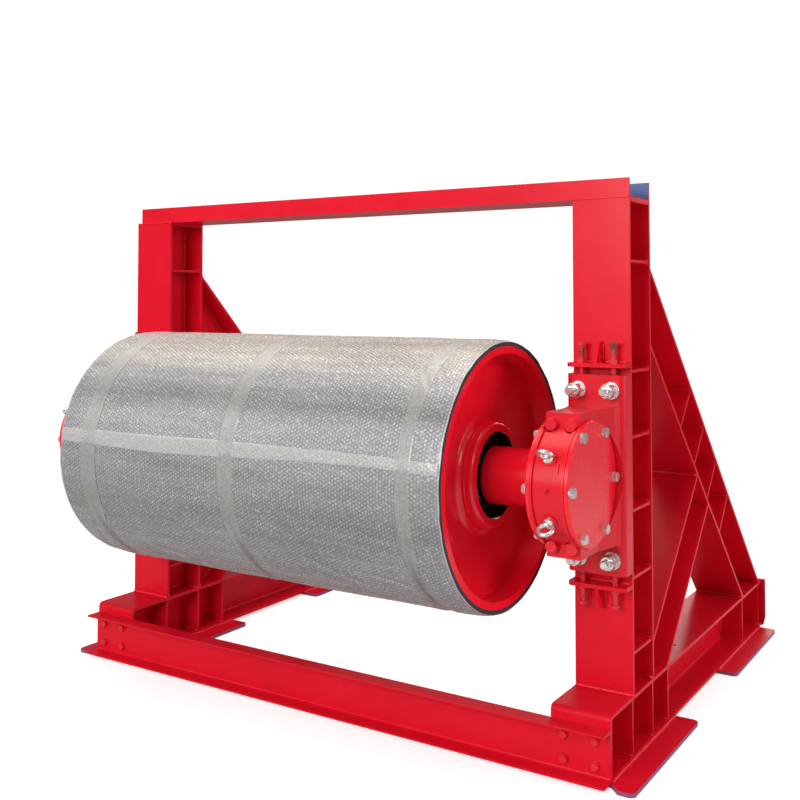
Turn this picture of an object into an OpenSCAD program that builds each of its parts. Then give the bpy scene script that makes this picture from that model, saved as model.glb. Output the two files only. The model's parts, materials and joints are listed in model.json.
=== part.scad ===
// Conveyor pulley drum on a welded H-section frame.
// Right-handed frame, +Z up, +X along the drum axis.
// Origin: centre of the footprint, on the floor.

/* [Frame sections] */
// Width and depth of the square H-section used for every side-frame member
sec = 250; // [240:1:260]
// Flange thickness of the H-section
tf = 14; // [12:1:16]
// Web thickness of the H-section
tw = 9; // [8:1:12]
// Radius at the root of web and flange
root_r = 13; // [8:1:16]
// Thickness of the welded stiffener plates
stiff_t = 12; // [8:1:14]

/* [Side frames] */
// Distance between the two bearing centres
bearing_span = 2600; // [2590:10:2640]
// Height of the underside of the sill above the floor
foot_t = 16; // [12:1:16]
// Height of the top end of the posts
post_top = 2272; // [2200:1:2300]
// Rear end of the sills, measured back from the post front face
sill_rear = 2090; // [2060:10:2200]
// Front end of the sills, measured forward from the post front face
sill_front = 250; // [240:1:260]
// Height at which the brace centreline meets the back of the post
brace_z = 1826; // [1780:1:1850]
// Distance back at which the brace centreline meets the sill
brace_y = 1858; // [1830:1:1880]
// Slope of the strut above the horizontal
strut_a = 42.8; // [42:0.1:44]

/* [Cross members] */
// Depth of the front cross channel
front_h = 200; // [180:10:220]
// Flange width of the front cross channel
front_b = 75; // [70:1:80]
// Flange height of the top cross channel
top_b = 83; // [76:1:90]

/* [Drum] */
// Height of the drum axis above the floor
axis_z = 1157; // [1150:1:1165]
// Distance of the drum axis in front of the posts
axis_y = 315; // [312:1:320]
// Outside diameter of the steel shell
shell_d = 1040; // [980:10:1050]
// Wall of the steel shell
shell_t = 29; // [20:1:32]
// Length of the steel shell
shell_len = 2032; // [2020:2:2060]
// Thickness of the rubber lagging
lag_t = 16; // [10:1:18]
// Thickness of the protective wrap
wrap_t = 12; // [9:1:20]
// Distance of the disc face in from the shell end
disc_in = 106; // [90:1:110]

/* [Shaft and bearings] */
// Shaft diameter between hub and housing
shaft_d = 230; // [228:1:232]
// Bore of the bearing
brg_bore = 220; // [218:1:222]
// Outside diameter of the bearing
brg_od = 400; // [396:2:400]
// Width of the bearing
brg_w = 108; // [104:2:108]
// Number of rollers in each row
rollers = 16; // [12:1:17]

/* [Housing] */
// Length of the housing foot along the post
foot_len = 804; // [790:2:820]
// Thickness of the housing foot
foot_y = 80; // [70:1:80]
// Stud position up and down from the axis
stud_z = 340; // [330:1:345]
// Stud position left and right of the housing centre
stud_x = 72; // [66:1:76]
// Outside radius of the end covers
cover_r = 243; // [240:1:244]
// Thickness of the end covers
cover_t = 17; // [12:1:18]

/* [Hidden] */
$fn = 96;
red = [0.86, 0.10, 0.16];
darkred = [0.62, 0.04, 0.08];
zinc = [0.78, 0.79, 0.80];
steel = [0.55, 0.56, 0.58];
cx = bearing_span / 2;
sill_bot = foot_t;
sill_top = foot_t + sec;
shell_r = shell_d / 2;
lag_r = shell_r + lag_t;
wrap_r = lag_r + wrap_t;
tape_r = wrap_r + 1;
y0 = -(sill_rear - axis_y - tape_r) / 2;
half = shell_len / 2;
brace_a = atan((brace_z - sill_top) / (brace_y - sec));
stiff_post = [430, 731, 1003, 1301, 1570, 2025];
stiff_sill = [2, 243, 440, 1685, 2033];
stiff_brace = [676, 959, 1237, 1525];
hw = 70;
cap_r = 238;
ear0 = 187;
ear1 = 275;
ear_y = 400;
bolt_pcr = 217;
base0 = axis_z - foot_len / 2;
base1 = axis_z + foot_len / 2;
jack_x = 68;
jack_y = 46;
row_a = 9.9;
roll_c = 157;
raceway = 182;
roll_gap = 0.6;

// ---- helpers ----
function arc(x, y, r, a0, a1, n = 8) =
  [for (i = [0:n]) [x + r * cos(a0 + (a1 - a0) * i / n), y + r * sin(a0 + (a1 - a0) * i / n)]];
module org() { translate([0, y0, 0]) children(); }
module right() { org() children(); }
module left() { org() mirror([1, 0, 0]) children(); }
module on_axis(x = 0) { translate([x, -axis_y, axis_z]) children(); }
// a body turned about the drum axis: local Z runs along +X
module turned(x = 0) { on_axis(x) rotate([0, 90, 0]) children(); }
module rod(r, x0, x1) { turned(x0) cylinder(r = r, h = x1 - x0); }
module tube(ro, ri, x0, x1) {
  turned(x0) difference() {
    cylinder(r = ro, h = x1 - x0);
    translate([0, 0, -1]) cylinder(r = ri, h = x1 - x0 + 2);
  }
}
module root2d() { difference() { square(root_r); translate([root_r, root_r]) circle(root_r, $fn = 48); } }
module h_section() {
  translate([-sec / 2, sec / 2 - tf]) square([sec, tf]);
  translate([-sec / 2, -sec / 2]) square([sec, tf]);
  translate([-tw / 2, -sec / 2]) square([tw, sec]);
  for (mx = [0, 1], my = [0, 1]) mirror([mx, 0]) mirror([0, my])
    translate([tw / 2, -sec / 2 + tf]) root2d();
}
// a pair of stiffener plates, one each side of the web, corners snipped at the root
module stiffener() {
  h = sec / 2 - tf;
  s = root_r + 6;
  e = sec / 2 - 4;
  for (m = [0, 1]) mirror([m, 0, 0]) translate([0, 0, -stiff_t / 2]) linear_extrude(stiff_t)
    polygon([[tw / 2, -h + s], [tw / 2 + s, -h], [e, -h], [e, h], [tw / 2 + s, h], [tw / 2, h - s]]);
}
module hexbar(af, h) { cylinder(r = af / sqrt(3), h = h, $fn = 6); }
// hexagon bolt head with the usual turned chamfer, seat at z = 0, pointing up
module hex_head(af, h) {
  intersection() {
    hexbar(af, h);
    union() {
      cylinder(r = af, h = h - af * 0.09);
      translate([0, 0, h - af * 0.09]) cylinder(r1 = af * 0.577, r2 = af * 0.475, h = af * 0.09);
    }
  }
}
// ---- side frame, built at the right-hand end ----
module post() {
  difference() {
    translate([cx, sec / 2, sill_top]) linear_extrude(post_top - sill_top) h_section();
    for (sx = [-1, 1], sz = [-1, 1]) translate([cx + sx * stud_x, -1, axis_z + sz * stud_z])
      rotate([-90, 0, 0]) cylinder(d = 39, h = tf + 2);
  }
}
module post_plates() {
  for (z = stiff_post) translate([cx, sec / 2, z]) stiffener();
  translate([cx - sec / 2, 0, post_top]) cube([sec, sec, 14]);
}
// rounds the front top edge of the sill over flange and end plate
module front_edge_round(r = 22) {
  difference() {
    translate([cx - sec / 2 - 2, -sill_front - 2, sill_top - r]) cube([sec + 4, r + 2, r + 2]);
    translate([cx - sec / 2 - 3, -sill_front + r, sill_top - r]) rotate([0, 90, 0]) cylinder(r = r, h = sec + 6);
  }
}
module sill() {
  difference() {
    union() {
      translate([cx, sill_rear - 12, sill_bot + sec / 2]) rotate([90, 0, 0])
        linear_extrude(sill_rear + sill_front - 26) h_section();
      for (z = [sill_bot, sill_top - tf]) translate([cx - sec / 2, -sill_front, z]) cube([sec, 14, tf]);
    }
    translate([cx + 62, 705, sill_top - tf - 1]) cylinder(d = 22, h = tf + 2);
    front_edge_round();
  }
}
module sill_plates() {
  for (y = stiff_sill) translate([cx, y, sill_bot + sec / 2]) rotate([90, 0, 0]) stiffener();
  difference() {
    translate([cx - sec / 2, -sill_front, sill_bot + tf]) cube([sec, 14, sec - 2 * tf]);
    cross_bolt_spots() translate([0, 0, -40]) cylinder(d = 22, h = 80);
    front_edge_round();
  }
  // closing plate at the rear, proud of the section
  translate([cx, sill_rear, 0]) rotate([90, 0, 0]) linear_extrude(12)
    polygon([[-147, sill_top + 8], [147, sill_top + 8], [147, sill_bot + 50], [135, sill_bot],
      [-135, sill_bot], [-147, sill_bot + 50]]);
}
module cut_to_corner() {
  intersection() {
    children();
    translate([cx - sec, sec, sill_top]) cube([2 * sec, 3000, 3000]);
  }
}
module along_brace(s = 0) {
  translate([cx, sec, brace_z]) rotate([-90 - brace_a, 0, 0]) translate([0, 0, s]) children();
}
module brace() { cut_to_corner() along_brace(-400) linear_extrude(3100) h_section(); }
module brace_plates() { for (s = stiff_brace) along_brace(s) stiffener(); }
module strut() {
  cut_to_corner() intersection() {
    translate([cx, 352, 358]) rotate([strut_a - 90, 0, 0]) translate([0, 0, -400])
      linear_extrude(1800) h_section();
    along_brace(-500) translate([-sec, sec / 2, 0]) cube([2 * sec, 2000, 4000]);
  }
}
module foot_plates() {
  translate([cx, 0, 0]) linear_extrude(foot_t) polygon(concat(
    [[-125, -sill_front], [125, -sill_front], [165, -292]],
    arc(205, -267, 25, -90, 0), arc(205, 505, 25, 0, 90),
    arc(-205, 505, 25, 90, 180), arc(-205, -267, 25, 180, 270), [[-165, -292]]));
  translate([cx, 0, 0]) linear_extrude(foot_t) polygon(concat(
    arc(190, 1230, 25, -90, 0), arc(190, 2005, 25, 0, 90),
    arc(-190, 2005, 25, 90, 180), arc(-190, 1230, 25, 180, 270)));
}
// one jacking bracket, plate face at z = 0, rib pointing up
module stop_bracket() {
  difference() {
    translate([cx, 0, 0]) linear_extrude(16) polygon(concat(
      [[125, 0], [-125, 0]], arc(-105, -60, 20, 180, 270), arc(105, -60, 20, -90, 0)));
    for (sx = [-1, 1]) translate([cx + sx * jack_x, -jack_y, -1]) cylinder(d = 22, h = 18);
  }
  translate([cx + 7, 0, 16]) rotate([90, 0, -90]) linear_extrude(14)
    polygon([[0, 0], [72, 0], [72, 10], [34, 88], [0, 88]]);
}
module stop_brackets() {
  translate([0, 0, base1 + 29]) stop_bracket();
  translate([0, 0, base0 - 45]) mirror([0, 0, 1]) stop_bracket();
}
// jacking bolt, tip at z = 0, head up, with its lock nut on the bracket
module jack_bolt(hd, nut) {
  cylinder(d = 20, h = hd + 1);
  translate([0, 0, hd]) hex_head(30, 13);
  translate([0, 0, nut]) hexbar(30, 16);
}
module jack_bolts() {
  for (sx = [-1, 1]) {
    translate([cx + sx * jack_x, -jack_y, base1]) jack_bolt(118, 45);
    translate([cx + sx * jack_x, -jack_y, base0]) mirror([0, 0, 1]) jack_bolt(125, 61);
  }
}
// ---- bearing housing ----
module base_outline() {
  polygon(concat(arc(cx + 97, -foot_y + 28, 28, -90, 0, 6), [[cx + 125, 0], [cx - 125, 0]],
    arc(cx - 97, -foot_y + 28, 28, 180, 270, 6)));
}
module housing_base() {
  difference() {
    union() {
      translate([0, 0, base0]) linear_extrude(foot_len) base_outline();
      translate([0, 0, axis_z - ear1]) linear_extrude(2 * ear1)
        polygon([[cx - 108, -foot_y + 1], [cx + 108, -foot_y + 1], [cx + 96, -foot_y - 30], [cx + hw, -axis_y + 85],
          [cx + hw, -axis_y], [cx - hw, -axis_y], [cx - hw, -axis_y + 85], [cx - 96, -foot_y - 30]]);
    }
    rod(brg_od / 2 + 0.05, cx - brg_w / 2, cx + brg_w / 2);
    rod(188, cx - hw - 1, cx + hw + 1);
    rod(cover_r + 4, cx + hw, cx + 200);
    rod(cover_r + 4, cx - 200, cx - hw);
    for (sx = [-1, 1], sz = [-1, 1]) {
      translate([cx + sx * stud_x, -foot_y - 1, axis_z + sz * stud_z])
        rotate([-90, 0, 0]) cylinder(d = 39, h = foot_y + 2);
      translate([cx + sx * 41, -axis_y - 1, axis_z + sz * 231])
        rotate([-90, 0, 0]) cylinder(d = 30, h = 70);
    }
  }
}
module housing_cap() {
  difference() {
    union() {
      intersection() {
        union() {
          rod(cap_r, cx - hw, cx + hw);
          rod(cap_r + 9, cx - hw, cx - hw + 12);
          rod(cap_r + 9, cx + hw - 12, cx + hw);
          // blank raised name pad
          intersection() {
            rod(cap_r + 4, cx - 46, cx + 44);
            translate([cx - 60, -axis_y - 400, axis_z + 63]) cube([120, 400, 40]);
          }
        }
        translate([cx - 200, -axis_y - 400, axis_z - 400]) cube([400, 400, 800]);
      }
      for (sz = [0, 1]) translate([0, 0, axis_z]) mirror([0, 0, sz])
        translate([cx - hw, -ear_y, ear0]) cube([2 * hw, ear_y - axis_y, ear1 - ear0]);
      // bosses under the eye bolts
      for (a = [-29, 29]) on_axis(cx) rotate([a, 0, 0]) rotate([90, 0, 0])
        cylinder(r = 30, h = cap_r + 5);
      // spot-faced bolt bosses on the ears
      for (sx = [-1, 1], sz = [-1, 1]) translate([cx + sx * 41, -ear_y + 1, axis_z + sz * 231])
        rotate([90, 0, 0]) cylinder(r = 28, h = 6);
    }
    rod(brg_od / 2 + 0.05, cx - brg_w / 2, cx + brg_w / 2);
    rod(188, cx - hw - 1, cx + hw + 1);
    for (sx = [-1, 1], sz = [-1, 1]) translate([cx + sx * 41, -axis_y + 1, axis_z + sz * 231])
      rotate([90, 0, 0]) cylinder(d = 32, h = 120);
    for (sx = [-1, 1], sz = [-1, 1]) translate([cx + sx * 41, -ear_y - 5, axis_z + sz * 231])
      rotate([90, 0, 0]) cylinder(r = 28.5, h = 80);
    for (a = [-29, 29]) on_axis(cx) rotate([a, 0, 0]) rotate([90, 0, 0])
      translate([0, 0, cap_r - 20]) cylinder(d = 22, h = 60);
    on_axis(cx) rotate([90, 0, 0]) cylinder(d = 10, h = 260);
  }
}
module cover_holes() {
  for (i = [0:5]) rotate([0, 0, 30 + i * 60]) translate([bolt_pcr, 0, -1]) cylinder(d = 26, h = cover_t + 2);
}
module outer_cover() {
  turned(cx + hw) difference() {
    union() {
      cylinder(r = cover_r, h = cover_t - 4);
      translate([0, 0, cover_t - 4]) cylinder(r1 = cover_r, r2 = cover_r - 4, h = 4);
      translate([0, 0, -13]) cylinder(r = 186, h = 14);
    }
    translate([0, 0, -14]) cylinder(r = 172, h = 20);
    cover_holes();
  }
}
module inner_cover() {
  turned(cx - hw - cover_t) difference() {
    union() {
      translate([0, 0, 4]) cylinder(r = cover_r, h = cover_t - 4);
      cylinder(r1 = cover_r - 4, r2 = cover_r, h = 4);
      translate([0, 0, cover_t - 1]) cylinder(r = 186, h = 14);
    }
    translate([0, 0, cover_t - 2]) cylinder(r = 172, h = 20);
    translate([0, 0, -1]) cylinder(r = shaft_d / 2 + 3, h = cover_t + 2);
    cover_holes();
  }
}
module cover_bolts() {
  for (i = [0:5]) {
    turned(cx + hw + cover_t) rotate([0, 0, 30 + i * 60]) translate([bolt_pcr, 0, 0]) {
      cylinder(r = 21, h = 3); translate([0, 0, 3]) hex_head(36, 15);
      translate([0, 0, -cover_t]) cylinder(d = 24, h = cover_t + 1);
    }
    turned(cx - hw - cover_t) mirror([0, 0, 1]) rotate([0, 0, 30 + i * 60]) translate([bolt_pcr, 0, 0]) {
      cylinder(r = 21, h = 3); translate([0, 0, 3]) hex_head(36, 15);
      translate([0, 0, -cover_t]) cylinder(d = 24, h = cover_t + 1);
    }
  }
}
module at_studs() {
  for (sx = [-1, 1], sz = [-1, 1]) translate([cx + sx * stud_x, -foot_y, axis_z + sz * stud_z])
    rotate([90, 0, 0]) children();
}
module base_studs() {
  at_studs() {
    translate([0, 0, -foot_y - tf - 34]) cylinder(d = 36, h = foot_y + tf + 34 + 95);
    translate([0, 0, 95]) cylinder(r1 = 18, r2 = 14, h = 5);
  }
}
module base_nuts() {
  at_studs() difference() {
    union() {
      cylinder(r = 35, h = 6);
      translate([0, 0, 6]) hex_head(55, 30);
      translate([0, 0, 36]) hex_head(55, 29);
      translate([0, 0, -foot_y - tf - 6]) cylinder(r = 33, h = 6);
      translate([0, 0, -foot_y - tf - 30]) hexbar(55, 24);
    }
    translate([0, 0, -foot_y - tf - 50]) cylinder(d = 36, h = 260);
  }
}
module eye_bolts() {
  for (a = [-29, 29]) on_axis(cx) rotate([a, 0, 0]) rotate([90, 0, 0]) {
    translate([0, 0, cap_r + 5]) cylinder(r = 21, h = 9);
    translate([0, 0, cap_r - 20]) cylinder(d = 22, h = 36);
    translate([0, 0, cap_r + 47]) rotate([90, 0, 0]) rotate_extrude($fn = 64)
      translate([28, 0]) circle(8, $fn = 32);
  }
}
module cap_bolts() {
  for (sx = [-1, 1], sz = [-1, 1]) translate([cx + sx * 41, -ear_y - 5, axis_z + sz * 231])
    rotate([90, 0, 0]) {
      cylinder(r = 26, h = 4);
      translate([0, 0, 4]) hex_head(46, 19);
      translate([0, 0, -150]) cylinder(d = 30, h = 151);
    }
}
module grease_nipple() {
  on_axis(cx) rotate([90, 0, 0]) {
    translate([0, 0, cap_r - 8]) cylinder(d = 10, h = 22);
    translate([0, 0, cap_r]) hexbar(19, 7);
    translate([0, 0, cap_r + 14]) cylinder(d = 8, h = 6);
  }
}
// ---- rolling bearing ----
module bearing_outer_ring() {
  turned(cx) difference() {
    translate([0, 0, -brg_w / 2]) cylinder(d = brg_od, h = brg_w, $fn = 128);
    sphere(raceway, $fn = 128);
  }
}
module roller() {
  rotate_extrude($fn = 48) intersection() {
    translate([0, -22]) square([30, 44]);
    translate([-roll_c, 0]) circle(raceway - roll_gap, $fn = 256);
  }
}
module bearing_rollers() {
  turned(cx) {
    for (s = [0, 1]) mirror([0, 0, s]) for (i = [0:rollers - 1])
      rotate([0, 0, (i + s * 0.5) * 360 / rollers])
        translate([roll_c * cos(row_a), 0, roll_c * sin(row_a)]) rotate([0, -row_a, 0]) {
          roller();
          translate([0, 0, -26]) cylinder(r = 7, h = 50);
        }
    difference() {
      translate([0, 0, -4]) cylinder(r = 172, h = 8);
      translate([0, 0, -5]) cylinder(r = 143, h = 10);
    }
  }
}
module bearing_inner_ring() {
  turned(cx) rotate_extrude($fn = 128) difference() {
    translate([brg_bore / 2, -brg_w / 2]) square([40, brg_w]);
    for (s = [-1, 1]) translate([(roll_c - 25 + raceway) * cos(row_a), s * (roll_c - 25 + raceway) * sin(row_a)])
      circle(raceway, $fn = 256);
  }
}
module shaft_seal() {
  turned(cx - hw - cover_t - 22) rotate_extrude($fn = 128)
    polygon([[shaft_d / 2, 0], [shaft_d / 2 + 14, 0], [shaft_d / 2 + 16, 8], [shaft_d / 2 + 26, 18],
      [shaft_d / 2 + 24, 19], [shaft_d / 2 + 12, 11], [shaft_d / 2 + 10, 18], [shaft_d / 2, 18]]);
}
// ---- pulley ----
module locking_ring() {
  turned(half - disc_in - 62) {
    difference() {
      union() {
        cylinder(r = 171, h = 84);
        for (i = [0:13]) rotate([0, 0, i * 360 / 14]) translate([146, 0, 78]) cylinder(r = 12, h = 20);
      }
      translate([0, 0, -1]) cylinder(r = 120, h = 100);
      translate([0, 0, 80]) difference() { cylinder(r = 162, h = 5); translate([0, 0, -1]) cylinder(r = 130, h = 5); }
      for (i = [0:13]) rotate([0, 0, i * 360 / 14]) translate([146, 0, 91]) hexbar(14, 10);
    }
  }
}
module end_disc() {
  f = half - disc_in;
  turned(0) rotate_extrude($fn = 160) polygon(concat(
    [[171, f - 75], [171, f + 60], [176, f + 66], [196, f + 66]],
    arc(196, f + 48, 18, 90, 20, 6), [[219, f + 34]],
    arc(252, f + 32, 32, 180, 270, 8),
    [[shell_r - shell_t - 13, f], [shell_r - shell_t, f + 13], [shell_r - shell_t, f - 40]],
    arc(252, f - 66, 26, 90, 180, 6), [[224, f - 75]]));
}
module drum_shell() { tube(shell_r, shell_r - shell_t, -half, half); }
module lagging() { tube(lag_r, shell_r, -half, half); }
module wrap_sheet() { tube(wrap_r, lag_r, -half - 5, half + 5); }
// an open wedge about the drum axis between two angles above the front direction
module wedge(a0, a1, x0, x1) {
  on_axis(x0) rotate([90, 0, 90]) linear_extrude(x1 - x0)
    polygon([[0, 0], [-900 * cos(a0), 900 * sin(a0)], [-900 * cos(a1), 900 * sin(a1)]]);
}
module wrap_tapes() {
  intersection() {
    tube(tape_r, wrap_r, -half - 5, half + 5);
    wedge(6.3, 13.5, -half - 5, half + 5);
  }
  for (b = [[-826, 96], [-2, 82], [862, 62]]) tube(tape_r, wrap_r, b[0] - b[1] / 2, b[0] + b[1] / 2);
}
module shaft() {
  s = shaft_d / 2;
  b = brg_bore / 2;
  e = cx + brg_w / 2 + 8;
  h = half - disc_in;
  turned(0) rotate_extrude($fn = 128) polygon([
    [0, -e], [b - 4, -e], [b, -e + 4], [b, -cx + brg_w / 2], [s, -cx + brg_w / 2], [s, -h - 30], [120, -h - 25],
    [120, -h + 110], [128, -h + 118], [128, h - 118], [120, h - 110], [120, h + 25], [s, h + 30],
    [s, cx - brg_w / 2], [b, cx - brg_w / 2], [b, e - 4], [b - 4, e], [0, e]]);
}
// ---- cross members ----
module top_crossbeam() {
  x0 = -cx - sec / 2 + 30;
  z = post_top + 14;
  translate([x0, 0, z]) rotate([90, 0, 90]) linear_extrude(cx + sec / 2 - x0)
    polygon([[0, 0], [sec, 0], [sec, top_b], [sec - 10, top_b], [sec - 14, 7], [14, 7], [10, top_b], [0, top_b]]);
}
module front_crossbeam() {
  difference() {
    translate([-cx - sec / 2, -sill_front, foot_t]) rotate([90, 0, 90]) linear_extrude(2 * cx + sec)
      polygon(concat([[0, 0], [-front_b, 0], [-front_b, 9]], arc(-21, 24.3, 12, -86.5, 0, 6),
        arc(-21, front_h - 24.3, 12, 0, 86.5, 6), [[-front_b, front_h - 9], [-front_b, front_h], [0, front_h]]));
    for (m = [0, 1]) mirror([m, 0, 0]) cross_bolt_spots() translate([0, 0, -40]) cylinder(d = 22, h = 80);
  }
}
module cross_bolt_spots() {
  for (sx = [-1, 1], sz = [-1, 1]) translate([cx + sx * 65, -sill_front - 9, 119 + sz * 47])
    rotate([90, 0, 0]) children();
}
module crossbeam_bolts() {
  for (m = [0, 1]) mirror([m, 0, 0]) cross_bolt_spots() {
    cylinder(r = 18.5, h = 3);
    translate([0, 0, 3]) hex_head(30, 13);
    translate([0, 0, -46]) cylinder(d = 20, h = 47);
    translate([0, 0, -39]) hexbar(30, 16);
  }
}

// ---- named nodes ----
module right_post() { color(red) right() post(); }
module right_post_plates() { color(red) right() post_plates(); }
module right_sill() { color(red) right() sill(); }
module right_sill_plates() { color(red) right() sill_plates(); }
module right_brace() { color(red) right() brace(); }
module right_brace_plates() { color(red) right() brace_plates(); }
module right_strut() { color(red) right() strut(); }
module right_foot_plates() { color(red) right() foot_plates(); }
module right_stop_brackets() { color(red) right() stop_brackets(); }
module right_jack_bolts() { color([0.35, 0.25, 0.2]) right() jack_bolts(); }
module right_housing_base() { color(red) right() housing_base(); }
module right_housing_cap() { color(red) right() housing_cap(); }
module right_outer_cover() { color(red) right() outer_cover(); }
module right_inner_cover() { color(red) right() inner_cover(); }
module right_cover_bolts() { color(zinc) right() cover_bolts(); }
module right_base_studs() { color(zinc) right() base_studs(); }
module right_base_nuts() { color(zinc) right() base_nuts(); }
module right_eye_bolts() { color(zinc) right() eye_bolts(); }
module right_cap_bolts() { color(darkred) right() cap_bolts(); }
module right_grease_nipple() { color(darkred) right() grease_nipple(); }
module right_bearing_outer_ring() { color(steel) right() bearing_outer_ring(); }
module right_bearing_rollers() { color(zinc) right() bearing_rollers(); }
module right_bearing_inner_ring() { color(steel) right() bearing_inner_ring(); }
module right_shaft_seal() { color([0.08, 0.08, 0.08]) right() shaft_seal(); }
module right_locking_ring() { color(steel) right() locking_ring(); }
module right_end_disc() { color(darkred) right() end_disc(); }
module left_post() { color(red) left() post(); }
module left_post_plates() { color(red) left() post_plates(); }
module left_sill() { color(red) left() sill(); }
module left_sill_plates() { color(red) left() sill_plates(); }
module left_brace() { color(red) left() brace(); }
module left_brace_plates() { color(red) left() brace_plates(); }
module left_strut() { color(red) left() strut(); }
module left_foot_plates() { color(red) left() foot_plates(); }
module left_stop_brackets() { color(red) left() stop_brackets(); }
module left_jack_bolts() { color([0.35, 0.25, 0.2]) left() jack_bolts(); }
module left_housing_base() { color(red) left() housing_base(); }
module left_housing_cap() { color(red) left() housing_cap(); }
module left_outer_cover() { color(red) left() outer_cover(); }
module left_inner_cover() { color(red) left() inner_cover(); }
module left_cover_bolts() { color(zinc) left() cover_bolts(); }
module left_base_studs() { color(zinc) left() base_studs(); }
module left_base_nuts() { color(zinc) left() base_nuts(); }
module left_eye_bolts() { color(zinc) left() eye_bolts(); }
module left_cap_bolts() { color(darkred) left() cap_bolts(); }
module left_grease_nipple() { color(darkred) left() grease_nipple(); }
module left_bearing_outer_ring() { color(steel) left() bearing_outer_ring(); }
module left_bearing_rollers() { color(zinc) left() bearing_rollers(); }
module left_bearing_inner_ring() { color(steel) left() bearing_inner_ring(); }
module left_shaft_seal() { color([0.08, 0.08, 0.08]) left() shaft_seal(); }
module left_locking_ring() { color(steel) left() locking_ring(); }
module left_end_disc() { color(darkred) left() end_disc(); }
module node_top_crossbeam() { color(red) org() top_crossbeam(); }
module node_front_crossbeam() { color(red) org() front_crossbeam(); }
module node_crossbeam_bolts() { color(darkred) org() crossbeam_bolts(); }
module node_drum_shell() { color(darkred) org() drum_shell(); }
module node_shaft() { color(red) org() shaft(); }
module node_lagging() { color([0.07, 0.07, 0.08]) org() lagging(); }
module node_wrap_sheet() { color([0.75, 0.73, 0.70]) org() wrap_sheet(); }
module node_wrap_tapes() { color([0.80, 0.78, 0.74]) org() wrap_tapes(); }

right_post();
right_post_plates();
right_sill();
right_sill_plates();
right_brace();
right_brace_plates();
right_strut();
right_foot_plates();
right_stop_brackets();
right_jack_bolts();
right_housing_base();
right_housing_cap();
right_outer_cover();
right_inner_cover();
right_cover_bolts();
right_base_studs();
right_base_nuts();
right_eye_bolts();
right_cap_bolts();
right_grease_nipple();
right_bearing_outer_ring();
right_bearing_rollers();
right_bearing_inner_ring();
right_shaft_seal();
right_locking_ring();
right_end_disc();
left_post();
left_post_plates();
left_sill();
left_sill_plates();
left_brace();
left_brace_plates();
left_strut();
left_foot_plates();
left_stop_brackets();
left_jack_bolts();
left_housing_base();
left_housing_cap();
left_outer_cover();
left_inner_cover();
left_cover_bolts();
left_base_studs();
left_base_nuts();
left_eye_bolts();
left_cap_bolts();
left_grease_nipple();
left_bearing_outer_ring();
left_bearing_rollers();
left_bearing_inner_ring();
left_shaft_seal();
left_locking_ring();
left_end_disc();
node_top_crossbeam();  // top_crossbeam
node_front_crossbeam();  // front_crossbeam
node_crossbeam_bolts();  // crossbeam_bolts
node_drum_shell();  // drum_shell
node_shaft();  // shaft
node_lagging();  // lagging
node_wrap_sheet();  // wrap_sheet
node_wrap_tapes();  // wrap_tapes
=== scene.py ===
import bpy, bmesh, math, json
import numpy as np
from mathutils import Vector, Matrix


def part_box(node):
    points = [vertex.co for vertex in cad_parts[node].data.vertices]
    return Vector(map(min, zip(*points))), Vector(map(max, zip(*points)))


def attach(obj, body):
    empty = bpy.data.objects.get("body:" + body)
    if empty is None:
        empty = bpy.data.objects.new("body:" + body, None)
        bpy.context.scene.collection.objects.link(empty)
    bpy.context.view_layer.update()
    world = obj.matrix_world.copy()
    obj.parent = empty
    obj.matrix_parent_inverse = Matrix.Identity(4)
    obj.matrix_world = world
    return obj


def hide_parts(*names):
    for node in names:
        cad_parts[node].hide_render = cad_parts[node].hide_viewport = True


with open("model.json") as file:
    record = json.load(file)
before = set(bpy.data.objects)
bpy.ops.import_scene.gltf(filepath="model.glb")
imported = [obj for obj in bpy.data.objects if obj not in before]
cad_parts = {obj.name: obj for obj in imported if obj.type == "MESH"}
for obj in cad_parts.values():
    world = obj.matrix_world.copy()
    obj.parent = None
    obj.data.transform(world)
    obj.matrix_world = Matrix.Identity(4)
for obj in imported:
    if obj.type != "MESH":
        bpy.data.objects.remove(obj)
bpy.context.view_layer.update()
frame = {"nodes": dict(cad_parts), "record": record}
NODES = frame["nodes"]
COLL = bpy.context.scene.collection

# ---------------------------------------------------------------- layout, read from the frame
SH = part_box("shaft")
AXY = (SH[0][1] + SH[1][1]) / 2
AXZ = (SH[0][2] + SH[1][2]) / 2
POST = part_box("right_post")
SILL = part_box("right_sill")
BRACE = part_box("right_brace")
CX = (POST[0][0] + POST[1][0]) / 2          # middle of a side frame
Y0 = POST[0][1]                             # front face of the posts
SEC = POST[1][0] - POST[0][0]
SILL_T = SILL[1][2]
SILL_B = SILL[0][2]
R_LAG = (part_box("lagging")[1][2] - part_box("lagging")[0][2]) / 2
R_WRAP = (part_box("wrap_sheet")[1][2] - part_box("wrap_sheet")[0][2]) / 2
X_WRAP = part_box("wrap_sheet")[1][0]
X_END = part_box("lagging")[1][0] - 0.001       # the sheet stops level with the lagging


# ---------------------------------------------------------------- small noise, the same on every run
def hash3(ix, iy, iz, seed=0):
    n = (ix * 374761393 + iy * 668265263 + iz * 2147483647 + seed * 144665) & 0xFFFFFFFF
    n = (n ^ (n >> 13)) * 1274126177 & 0xFFFFFFFF
    n = n ^ (n >> 16)
    return (n & 0xFFFF) / 65535.0


def vnoise(x, y, z, seed=0):
    """Smooth value noise from -1 to 1 on numpy arrays."""
    x, y, z = (np.asarray(v, float) for v in (x, y, z))
    ix, iy, iz = (np.floor(v).astype(np.int64) for v in (x, y, z))
    fx, fy, fz = x - ix, y - iy, z - iz
    fx, fy, fz = (f * f * (3 - 2 * f) for f in (fx, fy, fz))
    out = 0
    for a in (0, 1):
        for b in (0, 1):
            for c in (0, 1):
                w = (fx if a else 1 - fx) * (fy if b else 1 - fy) * (fz if c else 1 - fz)
                out = out + w * hash3(ix + a, iy + b, iz + c, seed)
    return out * 2 - 1


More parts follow.
